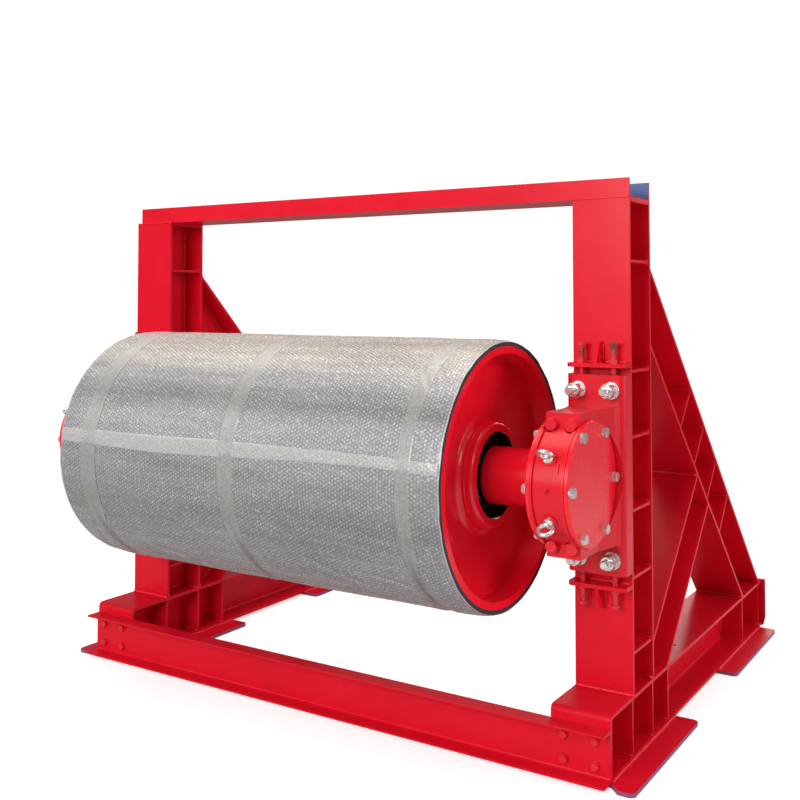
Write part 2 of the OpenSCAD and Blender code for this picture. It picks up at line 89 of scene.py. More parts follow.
# ---------------------------------------------------------------- material helpers
def new_mat(name):
    m = bpy.data.materials.new(name)
    m.use_nodes = True
    nt = m.node_tree
    nt.nodes.clear()
    out = nt.nodes.new("ShaderNodeOutputMaterial")
    p = nt.nodes.new("ShaderNodeBsdfPrincipled")
    nt.links.new(p.outputs[0], out.inputs[0])
    return m, nt, p


def coords(nt, scale=1.0):
    tc = nt.nodes.new("ShaderNodeTexCoord")
    return tc.outputs["Object"]


def noise(nt, vec, scale, detail=4.0, rough=0.55, dist=0.0):
    n = nt.nodes.new("ShaderNodeTexNoise")
    n.inputs["Scale"].default_value = scale
    n.inputs["Detail"].default_value = detail
    n.inputs["Roughness"].default_value = rough
    n.inputs["Distortion"].default_value = dist
    nt.links.new(vec, n.inputs["Vector"])
    return n.outputs["Fac"]


def stretched(nt, vec, sx, sy, sz):
    mp = nt.nodes.new("ShaderNodeMapping")
    mp.inputs["Scale"].default_value = (sx, sy, sz)
    nt.links.new(vec, mp.inputs["Vector"])
    return mp.outputs[0]


def ramp(nt, fac, stops):
    r = nt.nodes.new("ShaderNodeValToRGB")
    e = r.color_ramp.elements
    while len(e) < len(stops):
        e.new(0.5)
    for el, (pos, col) in zip(e, stops):
        el.position = pos
        el.color = col if len(col) == 4 else (*col, 1)
    nt.links.new(fac, r.inputs[0])
    return r.outputs[0]


def mix(nt, fac, a, b):
    m = nt.nodes.new("ShaderNodeMix")
    m.data_type = "RGBA"
    if isinstance(fac, (int, float)):
        m.inputs[0].default_value = fac
    else:
        nt.links.new(fac, m.inputs[0])
    for sock, v in ((m.inputs[6], a), (m.inputs[7], b)):
        if isinstance(v, tuple):
            sock.default_value = v if len(v) == 4 else (*v, 1)
        else:
            nt.links.new(v, sock)
    return m.outputs[2]


def maths(nt, op, a, b=None, c=None, clamp=False):
    m = nt.nodes.new("ShaderNodeMath")
    m.operation = op
    m.use_clamp = clamp
    for i, v in enumerate((a, b, c)):
        if v is None:
            continue
        if isinstance(v, (int, float)):
            m.inputs[i].default_value = v
        else:
            nt.links.new(v, m.inputs[i])
    return m.outputs[0]


def bump(nt, height, strength, dist, normal=None):
    b = nt.nodes.new("ShaderNodeBump")
    b.inputs["Strength"].default_value = strength
    b.inputs["Distance"].default_value = dist
    nt.links.new(height, b.inputs["Height"])
    if normal is not None:
        nt.links.new(normal, b.inputs["Normal"])
    return b.outputs[0]


def rng(nt, fac, lo, hi):
    m = nt.nodes.new("ShaderNodeMapRange")
    m.inputs["To Min"].default_value = lo
    m.inputs["To Max"].default_value = hi
    nt.links.new(fac, m.inputs["Value"])
    return m.outputs[0]


# ---------------------------------------------------------------- red enamel
def paint(name, base, dark, light, rough=(0.26, 0.42), spec=0.3, coat=0.2, grain=0.0, dust=0.16):
    m, nt, p = new_mat(name)
    v = coords(nt)
    big = noise(nt, v, 1.7, 3.0, 0.5)
    mid = noise(nt, v, 9.0, 5.0, 0.6)
    streak = noise(nt, stretched(nt, v, 26.0, 26.0, 2.2), 1.0, 4.0, 0.6)
    fine = noise(nt, v, 260.0, 2.0, 0.5)
    c1 = mix(nt, ramp(nt, big, [(0.32, (0, 0, 0)), (0.72, (1, 1, 1))]), dark, base)
    c2 = mix(nt, ramp(nt, mid, [(0.45, (0, 0, 0)), (0.85, (0.6, 0.6, 0.6))]), c1, light)
    # faint dust that has run down and settled
    c3 = mix(nt, ramp(nt, streak, [(0.60, (0, 0, 0)), (0.86, (dust, dust, dust))]), c2,
             tuple(0.72 * a + 0.28 * b for a, b in zip(base, (0.42, 0.30, 0.26))))
    # small chips and specks
    vo = nt.nodes.new("ShaderNodeTexVoronoi")
    vo.inputs["Scale"].default_value = 34.0
    nt.links.new(v, vo.inputs["Vector"])
    sp = maths(nt, "LESS_THAN", vo.outputs["Distance"], 0.035)
    gate = maths(nt, "GREATER_THAN", mid, 0.63)
    sp = maths(nt, "MULTIPLY", sp, gate)
    c4 = mix(nt, sp, c3, tuple(0.25 * a for a in base))
    nt.links.new(c4, p.inputs["Base Color"])
    nt.links.new(rng(nt, maths(nt, "ADD", maths(nt, "MULTIPLY", mid, 0.6), maths(nt, "MULTIPLY", fine, 0.4)), *rough),
                 p.inputs["Roughness"])
    p.inputs["Specular IOR Level"].default_value = spec
    p.inputs["Coat Weight"].default_value = coat
    p.inputs["Coat Roughness"].default_value = 0.12
    b1 = bump(nt, noise(nt, v, 120.0, 2.0, 0.5), 0.10, 0.0010)
    b2 = bump(nt, noise(nt, v, 16.0, 3.0, 0.5), 0.12, 0.0016, b1)
    if grain:
        b2 = bump(nt, noise(nt, v, 420.0, 3.0, 0.6), grain, 0.0008, b2)
    nt.links.new(b2, p.inputs["Normal"])
    return m


RED = (0.690, 0.0042, 0.0200)
frame_paint = paint("frame_paint_red", RED, (0.630, 0.0034, 0.0165), (0.735, 0.0070, 0.0260), spec=0.15, coat=0.04)
# painted highlight: a lighter pinkish red put on the bevel faces along sharp edges
edge_highlight_paint = paint("edge_paint_red", (0.90, 0.085, 0.120), (0.84, 0.060, 0.092), (0.94, 0.130, 0.170), rough=(0.20, 0.34), spec=0.45, coat=0.3)
casting_paint = paint("casting_paint_red", (0.690, 0.0056, 0.0190), (0.620, 0.0038, 0.0140), (0.740, 0.0120, 0.0290), rough=(0.22, 0.38),
                      spec=0.24, coat=0.16, grain=0.22)
# covers: a lighter red than the frame, painted light on their side-facing faces
cover_paint_with_painted_light = paint("cover_paint_red", (0.860, 0.0066, 0.0220), (0.800, 0.0046, 0.0165), (0.900, 0.0130, 0.0310), rough=(0.20, 0.34), spec=0.35, coat=0.25, grain=0.10)
pulley_paint = paint("pulley_paint_red", (0.860, 0.0058, 0.0250), (0.800, 0.0046, 0.0210), (0.890, 0.0085, 0.0310), rough=(0.18, 0.32), spec=0.45, coat=0.35)
shaft_paint = paint("shaft_paint_red", (0.650, 0.0036, 0.0150), (0.600, 0.0028, 0.0125), (0.700, 0.0060, 0.0200), rough=(0.18, 0.32), spec=0.35, coat=0.28)
# weld beads: the frame's red made lighter and pinker, a painted highlight along the beads
weld_paint_and_highlight = paint("weld_paint_red", (0.800, 0.0130, 0.032), (0.700, 0.0070, 0.020), (0.860, 0.026, 0.048), rough=(0.28, 0.42), spec=0.25, coat=0.05)
fastener_paint = paint("fastener_paint_red", (0.700, 0.0060, 0.020), (0.620, 0.0042, 0.015), (0.780, 0.018, 0.036), rough=(0.20, 0.36), spec=0.35, coat=0.25)


# ---------------------------------------------------------------- metals and rubbers
def zinc():
    m, nt, p = new_mat("zinc_plate")
    v = coords(nt)
    n1 = noise(nt, v, 60.0, 4.0, 0.6)
    n2 = noise(nt, v, 400.0, 2.0, 0.5)
    c = mix(nt, ramp(nt, n1, [(0.35, (0, 0, 0)), (0.70, (1, 1, 1))]), (0.62, 0.60, 0.58), (0.86, 0.85, 0.83))
    nt.links.new(c, p.inputs["Base Color"])
    p.inputs["Metallic"].default_value = 0.85
    nt.links.new(rng(nt, n2, 0.14, 0.30), p.inputs["Roughness"])
    nt.links.new(bump(nt, n2, 0.15, 0.0006), p.inputs["Normal"])
    return m


def rusty():
    m, nt, p = new_mat("weathered_steel")
    v = coords(nt)
    n1 = noise(nt, v, 45.0, 6.0, 0.65)
    n2 = noise(nt, v, 300.0, 3.0, 0.6)
    c = ramp(nt, n1, [(0.30, (0.050, 0.030, 0.022)), (0.52, (0.13, 0.060, 0.035)), (0.72, (0.24, 0.17, 0.13))])
    nt.links.new(c, p.inputs["Base Color"])
    nt.links.new(rng(nt, n1, 0.75, 0.2), p.inputs["Metallic"])
    nt.links.new(rng(nt, n2, 0.45, 0.75), p.inputs["Roughness"])
    nt.links.new(bump(nt, n2, 0.4, 0.0008), p.inputs["Normal"])
    return m


def dark_steel(name, lo, hi, metal, r0, r1):
    m, nt, p = new_mat(name)
    v = coords(nt)
    n1 = noise(nt, v, 30.0, 5.0, 0.6)
    n2 = noise(nt, stretched(nt, v, 900.0, 40.0, 40.0), 1.0, 2.0, 0.5)
    nt.links.new(mix(nt, n1, lo, hi), p.inputs["Base Color"])
    p.inputs["Metallic"].default_value = metal
    nt.links.new(rng(nt, n1, r0, r1), p.inputs["Roughness"])
    nt.links.new(bump(nt, n2, 0.12, 0.0005), p.inputs["Normal"])
    return m


def rubber(name, c0, c1, r0, r1):
    m, nt, p = new_mat(name)
    v = coords(nt)
    n1 = noise(nt, v, 14.0, 5.0, 0.6)
    n2 = noise(nt, v, 500.0, 2.0, 0.5)
    nt.links.new(mix(nt, n1, c0, c1), p.inputs["Base Color"])
    nt.links.new(rng(nt, n1, r0, r1), p.inputs["Roughness"])
    nt.links.new(bump(nt, n2, 0.25, 0.0008), p.inputs["Normal"])
    return m


zinc_mat = zinc()
rust_mat = rusty()
bearing_mat = dark_steel("bearing_steel", (0.42, 0.43, 0.45), (0.58, 0.58, 0.60), 1.0, 0.16, 0.30)
phosphate_mat = dark_steel("phosphated_steel", (0.008, 0.007, 0.008), (0.022, 0.019, 0.020), 0.3, 0.45, 0.65)
lag_mat = rubber("lagging_rubber", (0.010, 0.009, 0.011), (0.030, 0.027, 0.031), 0.50, 0.72)
seal_mat = rubber("seal_rubber", (0.008, 0.008, 0.009), (0.022, 0.022, 0.023), 0.45, 0.65)

SLOT_MAT = {
    "frame_paint": frame_paint, "housing_paint": casting_paint, "pulley_paint": pulley_paint,
    "shaft_steel": shaft_paint, "painted_fasteners": fastener_paint, "zinc_plated": zinc_mat,
    "weathered_steel": rust_mat, "bearing_steel": bearing_mat, "phosphated_steel": phosphate_mat,
    "seal_rubber": seal_mat, "lagging_rubber": lag_mat,
}


def foot_mat():
    """Red on top; the side faces of the plate are cut edges left bare, their dark blue-purple a painted sky reflection
    in shade.
    """
    m = frame_paint.copy()
    m.name = "foot_plate_paint"
    nt = m.node_tree
    p = next(n for n in nt.nodes if n.type == "BSDF_PRINCIPLED")
    old = p.inputs["Base Color"].links[0].from_socket
    g = nt.nodes.new("ShaderNodeNewGeometry")
    s = nt.nodes.new("ShaderNodeSeparateXYZ")
    nt.links.new(g.outputs["True Normal"], s.inputs[0])
    side = maths(nt, "LESS_THAN", maths(nt, "ABSOLUTE", s.outputs["Z"]), 0.85)
    n = noise(nt, coords(nt), 40.0, 4.0, 0.6)
    side = maths(nt, "MULTIPLY", side, rng(nt, n, 0.55, 1.0))
    # side faces: painted shade and painted sky reflection in dark blue-purple, mixed by noise
    nt.links.new(mix(nt, side, old, mix(nt, n, (0.10, 0.075, 0.17), (0.20, 0.15, 0.27))), p.inputs["Base Color"])
    return m


def crossbeam_mat():
    """Red channel whose open right-hand end has a blue patch on the inside of the rear flange."""
    m = frame_paint.copy()
    m.name = "crossbeam_paint"
    nt = m.node_tree
    p = next(n for n in nt.nodes if n.type == "BSDF_PRINCIPLED")
    old = p.inputs["Base Color"].links[0].from_socket
    v = coords(nt)
    s = nt.nodes.new("ShaderNodeSeparateXYZ")
    nt.links.new(v, s.inputs[0])
    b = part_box("top_crossbeam")
    wob = maths(nt, "MULTIPLY", noise(nt, v, 30.0, 3.0, 0.5), 0.03)
    near_end = maths(nt, "GREATER_THAN", maths(nt, "ADD", s.outputs["X"], wob), b[1][0] - 0.16)
    inside = maths(nt, "GREATER_THAN", s.outputs["Y"], b[1][1] - 0.020)
    facing = nt.nodes.new("ShaderNodeNewGeometry")
    fs = nt.nodes.new("ShaderNodeSeparateXYZ")
    nt.links.new(facing.outputs["True Normal"], fs.inputs[0])
    front = maths(nt, "LESS_THAN", fs.outputs["Y"], -0.5)
    k = maths(nt, "MULTIPLY", maths(nt, "MULTIPLY", near_end, inside), front)
    n = noise(nt, v, 18.0, 4.0, 0.6)
    nt.links.new(mix(nt, k, old, mix(nt, n, (0.045, 0.085, 0.26), (0.085, 0.17, 0.42))), p.inputs["Base Color"])
    return m


def axis_mask(nt, v, r_max):
    """1 closer to the drum's axis than r_max, 0 outside."""
    s = nt.nodes.new("ShaderNodeSeparateXYZ")
    nt.links.new(v, s.inputs[0])
    dy = maths(nt, "SUBTRACT", s.outputs["Y"], AXY)
    dz = maths(nt, "SUBTRACT", s.outputs["Z"], AXZ)
    r = maths(nt, "SQRT", maths(nt, "ADD", maths(nt, "MULTIPLY", dy, dy), maths(nt, "MULTIPLY", dz, dz)))
    return maths(nt, "LESS_THAN", r, r_max)


def blacked(src, name, mask_of):
    """A copy of a paint with the masked part coloured near-black."""
    m = src.copy()
    m.name = name
    nt = m.node_tree
    p = next(n for n in nt.nodes if n.type == "BSDF_PRINCIPLED")
    old = p.inputs["Base Color"].links[0].from_socket
    v = coords(nt)
    n = noise(nt, v, 26.0, 4.0, 0.6)
    nt.links.new(mix(nt, mask_of(nt, v), old, mix(nt, n, (0.006, 0.004, 0.005), (0.016, 0.010, 0.011))), p.inputs["Base Color"])
    return m


def shaft_mask(nt, v):
    s = nt.nodes.new("ShaderNodeSeparateXYZ")
    nt.links.new(v, s.inputs[0])
    ax = maths(nt, "ADD", maths(nt, "ABSOLUTE", s.outputs["X"]), maths(nt, "MULTIPLY", noise(nt, v, 30.0, 3.0, 0.5), 0.006))
    return maths(nt, "DIVIDE", maths(nt, "SUBTRACT", 0.970, ax), 0.010, clamp=True)


def jack_mat():
    """Red paint over weathered steel, worn through in patches."""
    m = rust_mat.copy()
    m.name = "jack_bolt_worn"
    nt = m.node_tree
    p = next(n for n in nt.nodes if n.type == "BSDF_PRINCIPLED")
    old = p.inputs["Base Color"].links[0].from_socket
    v = coords(nt)
    k = ramp(nt, noise(nt, v, 20.0, 4.0, 0.6), [(0.36, (0, 0, 0)), (0.48, (1, 1, 1))])
    nt.links.new(mix(nt, k, old, (0.62, 0.010, 0.022)), p.inputs["Base Color"])
    met = p.inputs["Metallic"].links[0].from_socket
    nt.links.new(maths(nt, "MULTIPLY", met, maths(nt, "SUBTRACT", 1.0, k)), p.inputs["Metallic"])
    return m


FOOT_WITH_PAINTED_EDGE_SHADE, CROSS = foot_mat(), crossbeam_mat()
# near-black on the wall of the hub's recess and on the shaft inside it: darker inside the recess
HUB = blacked(pulley_paint, "hub_paint", lambda nt, v: axis_mask(nt, v, 0.1745))
SHAFT = blacked(shaft_paint, "shaft_paint_ends", shaft_mask)
JACK = jack_mat()
slot_of = {s["node"]: s["material_slot"] for s in frame["record"]["subparts"]}


def set_mats(o, *mats):
    o.data.materials.clear()
    for m in mats:
        o.data.materials.append(m)


BEVELLED = {"post": 2.4, "post_plates": 2.0, "sill": 2.4, "sill_plates": 2.0, "brace": 2.4, "brace_plates": 2.0, "strut": 2.4,
            "foot_plates": 1.6, "stop_brackets": 2.2, "housing_base": 4.0, "housing_cap": 3.0, "outer_cover": 1.6,
            "inner_cover": 1.6, "end_disc": 1.5, "drum_shell": 2.5, "top_crossbeam": 2.0, "front_crossbeam": 2.2, "crossbeam_bolts": 1.2, "cap_bolts": 1.2}
for name, o in NODES.items():
    base = name.replace("right_", "").replace("left_", "")
    mat = SLOT_MAT.get(slot_of.get(name))
    if mat is None:
        continue
    if base == "foot_plates":
        mat = FOOT_WITH_PAINTED_EDGE_SHADE
    if base == "top_crossbeam":
        mat = CROSS
    if base == "end_disc":
        mat = HUB
    if base in ("outer_cover", "inner_cover"):
        mat = cover_paint_with_painted_light
    if base == "shaft":
        mat = SHAFT
    if base == "jack_bolts":
        mat = JACK
    # parts whose bevel faces get the painted edge highlight
    edges = base in ("post", "post_plates", "sill", "sill_plates", "brace", "brace_plates", "strut", "stop_brackets",
                     "top_crossbeam", "front_crossbeam", "housing_base", "housing_cap", "outer_cover", "inner_cover",
                     "crossbeam_bolts", "cap_bolts")
    set_mats(o, mat, edge_highlight_paint) if edges else set_mats(o, mat)
    if base in BEVELLED:
        b = o.modifiers.new("edge", "BEVEL")
        b.width = BEVELLED[base] / 1000
        b.segments = 2
        b.limit_method = "ANGLE"
        b.angle_limit = math.radians(38)
        b.harden_normals = True
        # the bevel faces take the painted edge highlight
        if edges:
            b.material = 1

# ---------------------------------------------------------------- mesh helper
def make(name, verts, faces, mat, body, smooth=True):
    me = bpy.data.meshes.new(name)
    me.from_pydata([tuple(v) for v in verts], [], faces)
    me.materials.append(mat)
    if smooth:
        me.polygons.foreach_set("use_smooth", [True] * len(me.polygons))
    me.update()
    o = bpy.data.objects.new(name, me)
    COLL.objects.link(o)
    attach(o, body)
    return o


# ---------------------------------------------------------------- protective wrap
N_ROUND = 218                               # bubbles round the drum
PITCH = 2 * math.pi * R_WRAP / N_ROUND
COL = PITCH * math.sqrt(3) / 4              # fine column step: two to each row of bubbles
BANDS = [(-0.826, 0.096), (-0.002, 0.082), (0.862, 0.062)]     # tape bands: middle, width
# the tape along the drum wanders a little: x, lower edge, upper edge in degrees above the front
AX_TAPE = np.array([(-1.02, 6.3, 12.6), (-0.95, 6.2, 12.6), (-0.75, 5.9, 12.8), (-0.43, 5.2, 12.7), (-0.14, 5.9, 13.4),
                    (0.12, 6.9, 13.4), (0.40, 8.0, 13.2), (0.54, 8.1, 13.3), (0.72, 8.4, 13.0), (0.98, 7.6, 12.4), (1.02, 7.4, 12.3)])


def tape_edges(x):
    return np.interp(x, AX_TAPE[:, 0], AX_TAPE[:, 1]), np.interp(x, AX_TAPE[:, 0], AX_TAPE[:, 2])


def smooth01(t):
    t = np.clip(t, 0, 1)
    return t * t * (3 - 2 * t)


def angdist(a, b):
    return (a - b + 180) % 360 - 180


def crease(x, deg, x0, d0, x1, d1, width, depth, bow=0.0):
    """A pulled-in line in the sheet from (x0, d0) to (x1, d1), with a raised lip on one side."""
    s0, s1 = d0 * math.pi / 180 * R_WRAP, d1 * math.pi / 180 * R_WRAP
    s = np.radians(((deg + 180) % 360) - 180) * R_WRAP
    dx, ds = x1 - x0, s1 - s0
    L2 = dx * dx + ds * ds
    t = ((x - x0) * dx + (s - s0) * ds) / L2
    off = ((x - x0) * ds - (s - s0) * dx) / math.sqrt(L2) - bow * np.sin(np.clip(t, 0, 1) * math.pi)
    along = smooth01(t / 0.22) * smooth01((1 - t) / 0.22) * (t > 0) * (t < 1)
    pit = along * np.exp(-(off / width) ** 2)
    return -depth * pit + 0.55 * depth * along * np.exp(-((off - 1.9 * width) / (1.2 * width)) ** 2), pit * min(1.0, depth / 0.006)


CREASES = [(-0.66, 60, -0.56, 42, 0.012, 0.0050), (-0.30, 55, -0.22, 41, 0.012, 0.0030), (0.30, -34, 0.62, -52, 0.016, 0.0030),
           (0.60, -40, 0.84, -45, 0.010, 0.0040), (-0.60, -44, -0.26, -66, 0.018, 0.0030), (0.60, 66, 0.83, 52, 0.014, 0.0028),
           (0.86, 60, 0.97, 44, 0.010, 0.0034), (0.80, 58, 0.90, 42, 0.010, 0.0030), (-0.88, -30, -0.97, -70, 0.016, 0.0040),
           (0.91, -30, 0.985, -62, 0.014, 0.0036), (0.07, 44, 0.03, 14, 0.010, 0.0022), (-0.40, -58, -0.05, -70, 0.012, 0.0032),
           (0.05, -64, 0.40, -56, 0.012, 0.0026), (-0.30, 118, 0.10, 152, 0.015, 0.0022, 0.03), (0.45, 176, 0.80, 140, 0.014, 0.0022, -0.03),
           (-0.90, 150, -0.60, 190, 0.014, 0.0022, 0.03), (-0.10, 200, 0.40, 230, 0.016, 0.0024, 0.04),
           (0.55, 98, 0.20, 122, 0.012, 0.0020, -0.02)]
GROOVE = [(-0.833, 0.020), (0.003, 0.015), (0.857, 0.017)]      # where each band cuts in under the drum: x, half width


def gather(deg):
    """How far a tape band is bunched up: 0 on the front and top, 1 below."""
    d = angdist(np.asarray(deg, float), -90.0)
    return smooth01((68 - np.abs(d)) / 20)


def macro(x, deg, want_fold=False):
    """Radius of the sheet's base surface, in metres, at x along the axis and deg above the front."""
    x, deg = np.broadcast_arrays(np.asarray(x, float), np.asarray(deg, float))
    s = np.radians(deg) * R_WRAP
    c3, s3 = np.cos(np.radians(deg)), np.sin(np.radians(deg))
    # several turns thick in the middle, drawn down on the lagging at both ends
    end = smooth01((np.abs(x) - (X_WRAP - 0.100)) / 0.098)
    r = R_LAG + 0.0085 - 0.0055 * end
    # a little slack under the drum, but less where a tape band holds it
    low = smooth01(1 - np.abs(angdist(deg, -92)) / 62)
    hold = 0
    for xb, w in BANDS:
        hold = np.maximum(hold, np.exp(-((x - xb) / (w * 0.5 + 0.030)) ** 2))
    r = r + 0.0022 * low * (1 - 0.55 * hold) * (1 - 0.7 * end) * (1 + 0.6 * vnoise(x * 3.1, s * 2.0, 0.3, 5))
    # unevenness of a hand-wound sheet
    r = r + 0.0012 * vnoise(x * 5.0, c3 * 3.0, s3 * 3.0, 1)
    r = r + 0.0007 * vnoise(x * 17.0, c3 * 11.0, s3 * 11.0, 2)
    r = r - 0.0012 * hold
    fold = np.zeros(np.shape(x))
    g = gather(deg)
    for xg, hw in GROOVE:
        wob = 0.006 * vnoise(0.4, c3 * 3.0, s3 * 3.0 + xg, 41)
        pit = g * np.exp(-((x - xg - wob) / hw) ** 2)
        r = r - 0.0078 * pit + 0.0030 * g * np.exp(-((x - xg - wob + 2.1 * hw) / (1.5 * hw)) ** 2) \
            + 0.0016 * g * np.exp(-((x - xg - wob - 2.1 * hw) / (1.3 * hw)) ** 2)
        fold = np.maximum(fold, pit)
    for c in CREASES:
        dr, pit = crease(x, deg, *c)
        r = r + dr
        fold = np.maximum(fold, pit * 0.32)
    r = np.maximum(r, R_LAG + 0.0016)
    # the lapped edge of the sheet, under the tape along the drum
    lap = smooth01((deg - 8.6) / 0.5) * smooth01((70 - deg) / 60) * (deg < 70)
    r = r + 0.0012 * lap
    return (r, fold) if want_fold else r


def on_drum(x, deg, r):
    a = np.radians(deg)
    return np.stack([x, AXY - r * np.cos(a), AXZ + r * np.sin(a)], -1)


def s_of(deg):
    return np.radians(deg) * R_WRAP


def tape_cover(x, deg):
    """1 under tape, 0 in the open: the tape presses the bubbles flatter."""
    lo, hi = tape_edges(x)
    k = ((deg > lo - 0.2) & (deg < hi + 0.2)).astype(float)
    for (xb, w), (xg, hw) in zip(BANDS, GROOVE):
        g = gather(deg)
        mid, half = xb + (xg - xb) * g, (w / 2) * (1 - 0.45 * g)
        k = np.maximum(k, (np.abs(x - mid) < half + 0.002).astype(float) * 0.55)
    return k


# how light the sheet looks round the drum, partly how milky its layers are and partly painted light and shade: degrees
# above the front, factor
MILKY_AND_PAINTED_LIGHT = np.array([(8.6, 0.92), (16, 0.92), (22, 0.88), (32, 0.70), (44, 1.00), (58, 1.46), (90, 1.44), (130, 1.15), (200, 0.92),
                  (270, 1.05), (292, 1.18), (315, 0.84), (340, 0.60), (355, 0.72), (368.6, 0.80)])


def layering_and_painted_light(deg):
    return np.interp((deg - 8.6) % 360 + 8.6, MILKY_AND_PAINTED_LIGHT[:, 0], MILKY_AND_PAINTED_LIGHT[:, 1])


def sheet_half(name, x0, x1, outer_x):
    """One width of bubble sheet wound round the drum, from x0 to x1. outer_x is the end that shows."""
    n_col = int(round((x1 - x0) / COL))
    cols = np.linspace(x0, x1, n_col + 1)
    m = 2 * N_ROUND
    verts, hval, fval, tval, rim, layers = [], [], [], [], [], []
    phase = int(round(x0 / COL))
    for j, x in enumerate(cols):
        jj = j + phase
        i = np.arange(m)
        deg = (i + (jj % 2) / 2) * (360.0 / m)
        deg = (deg + 180) % 360 - 180
        xx = np.full(m, x)
        top = np.zeros(m)
        if jj % 2 == 0:
            top = (i % 2 == (jj // 2) % 2).astype(float)
        edge = min(abs(x - x0), abs(x1 - x))
        cov = tape_cover(xx, deg)
        h = 0.0043 * top * (1 - 0.55 * cov) * (0.80 + 0.36 * (vnoise(xx * 90, deg * 1.7, 0.5, 9) * 0.5 + 0.5))
        # a few burst bubbles
        burst = (vnoise(xx * 211.0, deg * 7.7, 3.3, 11) > 0.80)
        h = np.where(burst, h * 0.25, h)
        if edge < 0.012:
            h = h * 0.2
        base, fold = macro(xx, deg, True)
        r = base + h * (1 - 0.5 * fold)
        if outer_x is not None and abs(x - outer_x) < 1e-6:
            wav = 0.0020 * vnoise(0.2, deg * 0.21, 1.0, 21)
            xx = xx + np.sign(outer_x) * wav
        verts.append(on_drum(xx, deg, r))
        hval.append(top * (1 - 0.4 * cov) * np.where(burst, 0.3, 1.0))
        fval.append(fold)
        tval.append(vnoise(xx * 151.0, s_of(deg) * 151.0, 1.7, 15) * 0.5 + 0.5)
        rim.append(np.full(m, 1.0 if outer_x is not None and abs(x - outer_x) < 0.005 else 0.0))
        layers.append(layering_and_painted_light(deg))
    faces = []
    for j in range(len(cols) - 1):
        jj = j + phase
        i = np.arange(m)
        a = j * m + i
        b = j * m + (i + 1) % m
        c = (j + 1) * m + i
        d = (j + 1) * m + (i + 1) % m
        if jj % 2 == 0:      # next column is half a step on
            faces += [tuple(t) for t in np.stack([a, b, c], -1)] + [tuple(t) for t in np.stack([b, d, c], -1)]
        else:                # next column is half a step back
            faces += [tuple(t) for t in np.stack([a, b, d], -1)] + [tuple(t) for t in np.stack([a, d, c], -1)]
    # rolled-in lip at the end that shows
    lip_rows = []
    if outer_x is not None:
        side = np.sign(outer_x)
        last = len(cols) - 1 if outer_x > (x0 + x1) / 2 else 0
        jj = last + phase
        deg = (np.arange(m) + (jj % 2) / 2) * (360.0 / m)
        deg = (deg + 180) % 360 - 180
        rb = macro(np.full(m, cols[last]), deg)
        wav = 0.0020 * vnoise(0.2, deg * 0.21, 1.0, 21)
        for k, (dx, f) in enumerate(((0.0014, 0.86), (0.0018, 0.55), (0.0006, 0.18), (-0.006, 0.05))):
            rr = (R_LAG + 0.0006) + (rb - R_LAG - 0.0006) * f
            verts.append(on_drum(np.full(m, cols[last]) + side * (dx + wav), deg, rr))
            hval.append(np.zeros(m))
            fval.append(np.zeros(m))
            tval.append(np.full(m, 0.5))
            rim.append(np.ones(m))
            layers.append(layering_and_painted_light(deg))
            lip_rows.append(len(verts) - 1)
        prev = last
        for row in lip_rows:
            i = np.arange(m)
            a, b = prev * m + i, prev * m + (i + 1) % m
            c, d = row * m + i, row * m + (i + 1) % m
            quad = np.stack([a, b, d, c], -1) if side > 0 else np.stack([a, c, d, b], -1)
            faces += [tuple(q) for q in quad]
            prev = row
    V = np.concatenate(verts)
    o = make(name, V, faces, None, "drum")
    bm = bmesh.new()
    bm.from_mesh(o.data)
    bmesh.ops.recalc_face_normals(bm, faces=bm.faces)
    bm.to_mesh(o.data)
    bm.free()
    # face outwards
    f = o.data.polygons[len(o.data.polygons) // 3]
    c = f.center
    if (c.y - AXY) * f.normal.y + (c.z - AXZ) * f.normal.z < 0:
        o.data.flip_normals()
    for key, rows in (("bubble", hval), ("fold", fval), ("tone", tval), ("rim", rim), ("layers", layers)):
        at = o.data.attributes.new(key, "FLOAT", "POINT")
        at.data.foreach_set("value", np.concatenate(rows).astype(np.float32))
    # a flat layout of the sheet
    uv = o.data.uv_layers.new(name="OFBake")
    co = np.empty(len(o.data.vertices) * 3)
    o.data.vertices.foreach_get("co", co)
    co = co.reshape(-1, 3)
    deg = np.degrees(np.arctan2(co[:, 2] - AXZ, -(co[:, 1] - AXY)))
    u = (co[:, 0] - x0) / (x1 - x0) * 0.96 + 0.02
    v = ((deg - 8.6) % 360) / 360
    li = np.empty(len(o.data.loops), dtype=np.int32)
    o.data.loops.foreach_get("vertex_index", li)
    lt = np.empty(len(o.data.polygons), dtype=np.int32)
    o.data.polygons.foreach_get("loop_total", lt)
    ls = np.concatenate([[0], np.cumsum(lt)[:-1]])
    lv = v[li]
    pid = np.repeat(np.arange(len(lt)), lt)
    vmax = np.maximum.reduceat(lv, ls)[pid]
    lv = np.where((vmax > 0.75) & (lv < 0.25), lv + 1, lv)
    data = np.stack([u[li], lv * 0.96 + 0.01], -1).astype(np.float32)
    uv.data.foreach_set("uv", data.ravel())
    return o


def attr(nt, name):
    at = nt.nodes.new("ShaderNodeAttribute")
    at.attribute_name = name
    return at.outputs["Fac"]


def scaled(nt, c, k):
    sc = nt.nodes.new("ShaderNodeVectorMath")
    sc.operation = "SCALE"
    nt.links.new(c, sc.inputs[0])
    nt.links.new(k, sc.inputs["Scale"])
    return sc.outputs[0]


